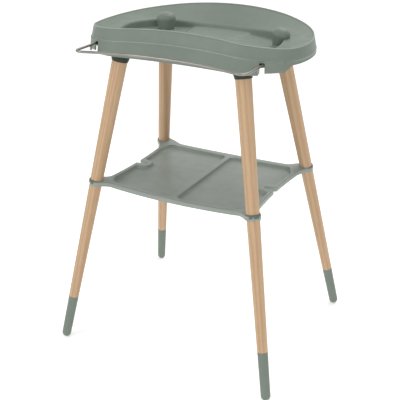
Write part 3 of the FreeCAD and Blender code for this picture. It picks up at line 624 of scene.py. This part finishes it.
def build_skirt():
    drafts = 0.14
    plan_low = kidney_rows(SKIRT, 0.0)
    marks = []
    for i in range(COUNT):
        a, b = plan_low[i], plan_low[(i + 1) % COUNT]
        marks.append((i, 0.0))
        # extra columns where a notch or the ramp begins and ends
        edges = [(side * x, 0) for side in (-1, 1) for x in NOTCH]
        for value, axis in edges + [(y, 1) for y in RAMP_Y]:
            if axis == 0 and a[1] > NOTCH_BACK_Y:
                continue
            low, high = sorted((a[axis], b[axis]))
            if low + 0.01 < value < high - 0.01:
                marks.append((i, (value - a[axis]) / (b[axis] - a[axis])))
    marks.sort()

    def at(plan, mark):
        i, t = mark
        a, b = plan[i], plan[(i + 1) % COUNT]
        return mix(a[0], b[0], t), mix(a[1], b[1], t)

    def row(pick, extra=0.0):
        plans = {}
        out = []
        for mark in marks:
            x, y = at(plan_low, mark)
            z = pick(x, y)
            key = round((z - 874.0) * drafts + extra, 1)
            if key not in plans:
                plans[key] = kidney_rows(SKIRT, key)
            px, py = at(plans[key], mark)
            out.append((px, py, z))
        return out

    def top(x, y):
        return seam_z(x) - 0.6

    def middle(x, y):
        return min(905.0, top(x, y) - 3.6)

    ledge = (
        (3.4, 1.6), (2.6, 0.5), (0.2, 0.5), (-0.6, 0.2), (-1.0, -0.5), (-0.7, -1.8), (0.0, -3.0),
    )
    rows = [row(lambda x, y, u=up: top(x, y) + u, inset) for inset, up in ledge]
    rows.append(row(lambda x, y: mix(top(x, y), middle(x, y), 0.5)))
    rows.append(row(middle))
    for fraction in (0.25, 0.5, 0.75, 1.0):
        rows.append(row(lambda x, y, f=fraction: mix(middle(x, y), skirt_floor(x, y), f)))
    verts = [p for r in rows for p in r]
    count = len(marks)
    faces = []
    for r in range(len(rows) - 1):
        for i in range(count):
            j = (i + 1) % count
            x = (at(plan_low, marks[i])[0] + at(plan_low, marks[j])[0]) / 2
            y = at(plan_low, marks[i])[1]
            if r >= 8 and y < NOTCH_BACK_Y and NOTCH[0] < abs(x) < NOTCH[1]:
                continue
            a, b = r * count, (r + 1) * count
            faces.append((a + i, b + i, b + j, a + j))
    skirt = make_object("skirt_wall", verts, faces, PLASTIC, angle=35.0)
    shelled(skirt, 0.0034)
    soft = skirt.modifiers.new("soft", "BEVEL")
    soft.width = 0.0007
    soft.segments = 2
    soft.limit_method = "ANGLE"
    soft.angle_limit = math.radians(50)

    flange = Builder()
    rings = []
    for inset, z in (
        (4.2, 893.6), (60.0, 893.6), (60.6, 894.2), (60.6, 896.6), (60.0, 897.1), (4.2, 897.1),
    ):
        rings.append([(x, y, z) for x, y in kidney_rows(SKIRT, inset)])
    flange.rings(rings + [rings[0]])
    verts, faces = flange.verts, []
    for face in flange.faces:
        x = sum(verts[i][0] for i in face) / 4
        y = sum(verts[i][1] for i in face) / 4
        if y < -82 and 232 < abs(x) < 254:
            continue
        faces.append(face)
    ring = make_object("skirt_flange", verts, faces, PLASTIC, angle=35.0)
    return [skirt, ring]


# ------------------------------------------------------------------ beads

LEFT_PEG, RIGHT_PEG, PEG_Z = (-146.0, 24.0), (207.0, -2.0), 904.2


def bead(name, path, radius, material):
    """A thin round bead along a closed path."""
    pts = [Vector(p) for p in path]
    count, around = len(pts), 10
    rings = []
    for i, p in enumerate(pts):
        way = (pts[(i + 1) % count] - pts[i - 1]).normalized()
        side = way.cross(Vector((0, 0, 1))).normalized()
        up = side.cross(way)
        ring = []
        for k in range(around):
            a = TAU * k / around
            ring.append(p + side * (radius * math.cos(a)) + up * (radius * math.sin(a)))
        rings.append(ring)
    made = Builder()
    made.rings(rings + [rings[0]])
    return make_object(name, made.verts, made.faces, material, angle=80.0)


def build_rim_bead():
    _, heights, insets = wall_row(1.0)
    plan = kidney_rows(TRAY, [v + 1.5 for v in insets])
    # the bead's paler plastic is a painted highlight along the rim
    return bead("rim_bead", [(x, y, h - 1.8) for (x, y), h in zip(plan, heights)], 1.8, EDGE_HIGHLIGHT)


def build_seam_bead():
    _, heights, insets = wall_row(0.0)
    plan = kidney_rows(TRAY, [v + 0.2 for v in insets])
    # a pale bead over the seam: a painted highlight on the seam's lip, laid over the shaded gap
    # below it
    return bead("seam_bead", [(x, y, h - 0.1) for (x, y), h in zip(plan, heights)], 1.15, EDGE_HIGHLIGHT)


def build_peg_ring(name, x, y, radius):
    """A raised ring on the tray's floor round a peg's foot."""
    path = []
    for k in range(48):
        a = TAU * k / 48
        px, py = x + radius * math.cos(a), y + radius * math.sin(a)
        path.append((px, py, floor_z(px, py) + 0.6))
    # the ring's paler plastic is a painted highlight
    return bead(name, path, 1.5, EDGE_HIGHLIGHT)


# ------------------------------------------------------------------ legs

LEGS = {
    "front_left": (-332.5, -288.0, -184.2, -167.8),
    "front_right": (332.5, -288.0, 184.2, -167.8),
    "back_left": (-328.5, 288.0, -187.4, 91.0),
    "back_right": (328.5, 288.0, 187.4, 91.0),
}
FOOT_R, TOP_R, FOOT_Z, TOP_Z = 13.4, 21.3, 13.4, 850.0
CAP_Z, WOOD_Z, WOOD_TOP = 138.0, 139.5, 884.0
ARM_Z, BAND_Z = 505.0, 511.0


def leg_matrix(name):
    fx, fy, tx, ty = LEGS[name]
    foot, top = Vector((fx, fy, FOOT_Z)), Vector((tx, ty, TOP_Z))
    axis = (top - foot).normalized()
    turn = Vector((0, 0, 1)).rotation_difference(axis).to_matrix().to_4x4()
    return Matrix.Translation(foot * MM) @ turn, (top - foot).length / (TOP_Z - FOOT_Z)


def leg_radius(z):
    return FOOT_R + (TOP_R - FOOT_R) * (z - FOOT_Z) / (TOP_Z - FOOT_Z)


def leg_axis(name, z):
    fx, fy, tx, ty = LEGS[name]
    t = (z - FOOT_Z) / (TOP_Z - FOOT_Z)
    return Vector((mix(fx, tx, t), mix(fy, ty, t)))


def build_leg(name):
    matrix, stretch = leg_matrix(name)

    def along(z):
        return (z - FOOT_Z) * stretch

    pieces = []
    r_cap = leg_radius(CAP_Z)
    turns = [math.pi / 2 * k / 12 for k in range(13)]
    foot = [(FOOT_R * math.sin(a), -FOOT_R * math.cos(a)) for a in turns]
    foot[0] = (0.01, -FOOT_R)
    cap = foot + [
        (mix(FOOT_R, r_cap, k / 8), along(mix(FOOT_Z, CAP_Z, k / 8))) for k in range(1, 8)
    ]
    top = along(CAP_Z)
    cap += [
        (r_cap, top - 0.9), (r_cap - 0.15, top - 0.4), (r_cap - 0.7, top), (9.7, top),
        (9.7, top - 60),
    ]
    piece = turned(f"foot_{name}", cap, PLASTIC, Matrix.Identity(4))
    piece.data.transform(matrix)
    pieces.append((piece, [f"foot_cap_{name}"], "green_plastic"))

    wood = [(9.5, top - 55), (9.5, top + 0.3), (r_cap - 1.0, top + 0.3), (r_cap - 0.35, top + 0.7)]
    heights = [WOOD_Z + (TOP_Z - WOOD_Z) * k / 30 for k in range(31)]
    wood += [(leg_radius(z), along(z)) for z in heights]
    end = along(WOOD_TOP)
    wood += [(TOP_R, end - 0.8), (TOP_R - 0.8, end), (6.2, end), (6.2, along(860.0))]
    piece = turned(f"wood_{name}", wood, WOOD, matrix, segments=64)
    pieces.append((piece, [f"leg_{name}"], "beech"))

    low, high = along(854.0), along(871.5)
    flare = [
        (TOP_R + 0.15, low), (TOP_R + 1.2, low), (TOP_R + 1.7, low + 0.5), (TOP_R + 2.0, low + 2.5),
        (TOP_R + 3.2, mix(low, high, 0.45)), (TOP_R + 4.9, high - 1.0), (TOP_R + 4.6, high - 0.3),
        (TOP_R + 3.9, high), (TOP_R + 0.15, high), (TOP_R + 0.15, low),
    ]
    piece = turned(f"collar_{name}", flare, DARK, matrix)
    pieces.append((piece, [f"leg_collar_{name}"], "dark_plastic"))

    low, high = along(503.0), along(513.5)
    r = leg_radius(BAND_Z) + 0.1
    band = [
        (r, low + 0.4), (r + 1.9, low), (r + 2.4, low + 0.7), (r + 2.6, low + 2.5),
        (r + 2.6, high - 2.0), (r + 2.3, high - 0.7), (r + 1.6, high), (r + 0.5, high),
        (r, high - 0.6), (r, low + 0.4),
    ]
    piece = turned(f"band_{name}", band, RING, matrix)
    pieces.append((piece, [f"shelf_ring_{name}"], "dark_plastic"))
    return pieces


# ------------------------------------------------------------------ storage tray


def shelf_warp(x, y):
    """Bows the front forwards, and hollows the back and the two sides."""
    out_x, out_y = x, y
    across = 1 - (x / 200.0) ** 2
    if abs(x) < 200:
        out_y -= 15.0 * across * smoothstep(0.0, -200.0, y)
        out_y -= 6.0 * across * smoothstep(0.0, 170.0, y)
    if abs(y + 15) < 150:
        pull = 8.0 * (1 - ((y + 15) / 150.0) ** 2)
        out_x -= math.copysign(pull * smoothstep(60.0, 200.0, abs(x)), x)
    return out_x, out_y


def shelf_lift(x, y):
    """How far the corners sweep up towards the rings."""
    lift = 0.0
    for name in LEGS:
        axis = leg_axis(name, ARM_Z)
        d = math.hypot(x - axis.x, y - axis.y)
        lift = max(lift, 7.0 * (1 - smoothstep(20.0, 66.0, d)))
    return lift


def mirror_loop(loop):
    return [(-x, y) for x, y in reversed(loop)]


def shelf_outline():
    right = [
        (0.0, -207.0, 0.0),
        (196.0, -207.0, 46.0),
        (232.0, -236.0, 0.0),
        (264.0, -210.0, 0.0),
        (234.0, -172.0, 40.0),
        (234.0, -29.0, 5.0),
        (201.0, -28.0, 6.4),
        (201.0, -14.5, 6.4),
        (234.0, -12.0, 8.0),
        (234.0, 126.0, 40.0),
        (265.0, 163.0, 0.0),
        (236.0, 190.0, 0.0),
        (184.0, 176.0, 46.0),
        (0.0, 176.0, 0.0),
    ]
    left = [(-x, y, r) for x, y, r in reversed(right[1:-1])]
    loop = resample(rounded(right + left), 6.0)
    return [shelf_warp(x, y) for x, y in loop]


def pan_outline(side):
    corners = [
        (6.0, -194.0, 20.0),
        (204.0, -192.0, 22.0),
        (222.0, -158.0, 26.0),
        (224.0, -47.0, 10.0),
        (189.0, -42.0, 15.0),
        (189.0, -1.0, 15.0),
        (224.0, 3.0, 10.0),
        (224.0, 112.0, 30.0),
        (196.0, 156.0, 34.0),
        (6.0, 156.0, 20.0),
    ]
    loop = resample(rounded(corners), 5.0)
    loop = [shelf_warp(x, y) for x, y in loop]
    return loop if side > 0 else mirror_loop(loop)


def build_shelf():
    top_z, low_z = shelf_high.z, shelf_low.z
    outline = shelf_outline()
    normals = outward(outline)
    # the arms stop at the rings
    trimmed = []
    for x, y in outline:
        for name in LEGS:
            axis = leg_axis(name, ARM_Z)
            gap = Vector((x, y)) - axis
            reach = leg_radius(BAND_Z) + 3.0
            if gap.length < reach:
                gap = gap.normalized() * reach
                x, y = axis.x + gap.x, axis.y + gap.y
        trimmed.append((x, y))
    outline = trimmed

    def edge_ring(inset, z):
        ring = []
        for (x, y), n in zip(outline, normals):
            px, py = x - n.x * inset, y - n.y * inset
            ring.append((px, py, z + shelf_lift(x, y)))
        return ring

    shell = Builder()
    rings = [
        edge_ring(2.0, top_z), edge_ring(0.9, top_z - 0.35), edge_ring(0.25, top_z - 1.1),
        edge_ring(0.0, top_z - 2.2), edge_ring(0.0, low_z + 1.4), edge_ring(0.5, low_z + 0.4),
        edge_ring(1.4, low_z),
    ]
    shell.rings(rings)
    inner = [(p[0], p[1]) for p in rings[0]]
    under = [(p[0], p[1]) for p in rings[-1]]
    pans = [pan_outline(1), pan_outline(-1)]
    verts, faces = filled(inner, pans, 7.0, lambda x, y: top_z + shelf_lift(x, y))
    shell.add(verts, faces)
    verts, faces = filled(under, [], 14.0, lambda x, y: low_z + shelf_lift(x, y))
    shell.add(verts, faces)
    for pan in pans:
        normal = outward(pan)

        def pan_ring(inset, drop):
            return [
                (x - n.x * inset, y - n.y * inset, top_z - drop) for (x, y), n in zip(pan, normal)
            ]

        steps = [
            (0.0, 0.0), (0.7, 0.25), (1.3, 0.9), (1.7, 1.9), (2.9, 6.4), (3.6, 8.2), (4.7, 9.2),
            (6.2, 9.5),
        ]
        shell.rings([pan_ring(*s) for s in steps])
        floor = [(p[0], p[1]) for p in pan_ring(6.2, 9.5)]
        verts, faces = filled(floor, [], 16.0, lambda x, y: top_z - 9.5)
        shell.add(verts, faces)
    return make_object("shelf_tray", shell.verts, shell.faces, SHELF_LIT, angle=38.0)


# ------------------------------------------------------------------ towel rail


def build_rail():
    z = (rail_low.z + rail_high.z) / 2
    half, bend, big = 243.0, 18.0, 668.0
    middle = Vector((0, -252.0 - big))
    corner = Vector((half - bend, middle.y + math.sqrt((big + bend) ** 2 - (half - bend) ** 2)))
    swing = math.asin(corner.x / (big + bend))
    path = [(half, mix(rail_high.y - 3.0, corner.y, k / 12), z) for k in range(12)]
    for k in range(13):
        a = mix(0.0, -(math.pi / 2 + swing), k / 12)
        path.append((corner.x + bend * math.cos(a), corner.y + bend * math.sin(a), z))
    for k in range(1, 60):
        a = math.pi / 2 - swing + 2 * swing * k / 60
        path.append((big * math.cos(a), middle.y + big * math.sin(a), z))
    left = [(-x, y, h) for x, y, h in reversed(path[:25])]
    return swept("rail_rod", path + left, 3.5, STEEL, segments=24)


# ------------------------------------------------------------------ mat pegs


def build_peg(name, place, lean, base, top, length):
    matrix = Matrix.Translation(Vector(place) * MM) @ Matrix.Rotation(math.radians(lean), 4, "Y")
    profile = [(0.01, 0.0), (base - 1.2, 0.0), (base - 0.3, 0.6), (base, 1.6)]
    for k in range(1, 9):
        t = k / 8
        profile.append((mix(base, top, t**0.9), 1.6 + (length - 21.0) * t))
    shoulder, rise = 1.6 + length - 21.0, 19.0
    for k in range(1, 11):
        a = math.pi / 2 * k / 10
        profile.append((max(0.01, top * math.cos(a) ** 0.85), shoulder + rise * math.sin(a)))
    return turned(name, profile, PLASTIC, matrix, segments=56, angle=50.0)


# ------------------------------------------------------------------ put it together

tray = build_tray()
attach(tray, "table")
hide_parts("changing_tray")

beads = [
    build_rim_bead(),
    build_seam_bead(),
    build_peg_ring("peg_ring_left", *LEFT_PEG, 24.5),
    build_peg_ring("peg_ring_right", *RIGHT_PEG, 18.5),
]
for piece in beads:
    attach(piece, "table")

for index, piece in enumerate(build_skirt()):
    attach(piece, "table")
    if index == 0:
        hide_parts("skirt_frame")

for leg_name in LEGS:
    for piece, nodes_replaced, slot_name in build_leg(leg_name):
        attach(piece, "table")
        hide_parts(*nodes_replaced)

shelf = build_shelf()
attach(shelf, "table")
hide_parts("storage_tray")

rail = build_rail()
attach(rail, "rail")
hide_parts("towel_rail")

PEGS = [
    ("mat_peg_left", (*LEFT_PEG, PEG_Z), -3.0, 20.0, 27.5, 52.0),
    ("mat_peg_right", (*RIGHT_PEG, PEG_Z), 12.0, 16.0, 24.0, 51.0),
]
for node, place, lean, base, top, length in PEGS:
    peg = build_peg(f"{node}_body", place, lean, base, top, length)
    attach(peg, "table")
    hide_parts(node)

CAD_LOOKS = {
    "support_deck": DECK,
    "leg_inserts": ZINC,
    "leg_bolts": ZINC,
    "tray_screws": ZINC,
    "flange_screws": ZINC,
    "rail_clip_left": GUIDE,
    "rail_clip_right": GUIDE,
    "rail_stops": GUIDE,
    "rail_pegs": STEEL,
}
for node, look in CAD_LOOKS.items():
    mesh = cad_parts[node].data
    mesh.materials.clear()
    mesh.materials.append(look)

# ------------------------------------------------------------------ studio


def studio_floor():
    mat, nodes, links, shader = new_material("studio_floor")
    vector = coords(nodes, links, (1, 1, 1))
    cloud = add(nodes, "ShaderNodeTexNoise", Scale=1.2, Detail=3.0)
    links.new(vector, cloud.inputs["Vector"])
    tint = ramp(nodes, [(0.3, grey(0.90)), (0.7, grey(0.93))])
    links.new(cloud.outputs["Fac"], tint.inputs["Fac"])
    links.new(tint.outputs["Color"], shader.inputs["Base Color"])
    shader.inputs["Roughness"].default_value = 0.8
    shader.inputs["Specular IOR Level"].default_value = 0.1
    shader.inputs["Emission Color"].default_value = (1, 1, 1, 1)
    shader.inputs["Emission Strength"].default_value = 0.3
    sweep = Builder()
    size, back = 9000.0, 9000.0
    profile = [(-size, 0.0), (-size * 0.3, 0.0), (size * 0.4, 0.0)]
    for k in range(1, 13):
        a = math.pi / 2 * k / 12
        profile.append((size * 0.4 + 2500 * math.sin(a), 2500 * (1 - math.cos(a))))
    profile.append((size * 0.4 + 2500, back))
    turn = Matrix.Rotation(math.radians(CAMERA_TURN), 3, "Z")
    rings = []
    for along_y, z in profile:
        ring = []
        for k in range(9):
            ring.append(turn @ Vector((mix(-size, size, k / 8), along_y, z - 0.05)))
        rings.append(ring)
    sweep.rings(rings, closed=False)
    return make_object("studio_sweep", sweep.verts, sweep.faces, mat, angle=80.0)


studio_floor()

world = bpy.data.worlds.new("studio")
world.use_nodes = True
background = world.node_tree.nodes["Background"]
background.inputs["Color"].default_value = (1.0, 1.0, 1.0, 1)
background.inputs["Strength"].default_value = 0.62
bpy.context.scene.world = world
bpy.context.scene.view_settings.view_transform = "Standard"


def area_light(name, place, aim, size, power, colour=(1, 1, 1)):
    data = bpy.data.lights.new(name, "AREA")
    data.shape = "RECTANGLE"
    data.size, data.size_y = size
    data.energy = power
    data.color = colour
    lamp = bpy.data.objects.new(name, data)
    lamp.location = place
    way = Vector(aim) - Vector(place)
    lamp.rotation_euler = way.to_track_quat("-Z", "Y").to_euler()
    bpy.context.scene.collection.objects.link(lamp)
    return lamp


area_light("key", (-1.9, -2.9, 2.7), (0, 0, 0.6), (1.8, 1.8), 48.0)
area_light("fill", (2.6, -2.4, 2.0), (0, 0, 0.5), (2.0, 2.0), 26.0)
area_light("top", (0.3, 1.4, 3.2), (0, 0, 0.8), (1.6, 1.6), 34.0)

camera_data = bpy.data.cameras.new("camera")
camera = bpy.data.objects.new("camera", camera_data)
bpy.context.scene.collection.objects.link(camera)
azimuth, elevation, roll = (math.radians(v) for v in (CAMERA_TURN, 24.18, 0.44))
back_way = Vector(
    (
        math.sin(azimuth) * math.cos(elevation),
        -math.cos(azimuth) * math.cos(elevation),
        math.sin(elevation),
    )
)
right_way = Vector((math.cos(azimuth), math.sin(azimuth), 0))
up_way = back_way.cross(right_way)
image_right = right_way * math.cos(roll) + up_way * math.sin(roll)
image_up = up_way * math.cos(roll) - right_way * math.sin(roll)
pose = Matrix((image_right, image_up, back_way)).transposed().to_4x4()
pose.translation = Vector((0.99484, -1.96882, 1.40519))
camera.matrix_world = pose
camera_data.sensor_width = 36.0
camera_data.lens = 72.65
camera_data.clip_end = 60.0
bpy.context.scene.camera = camera
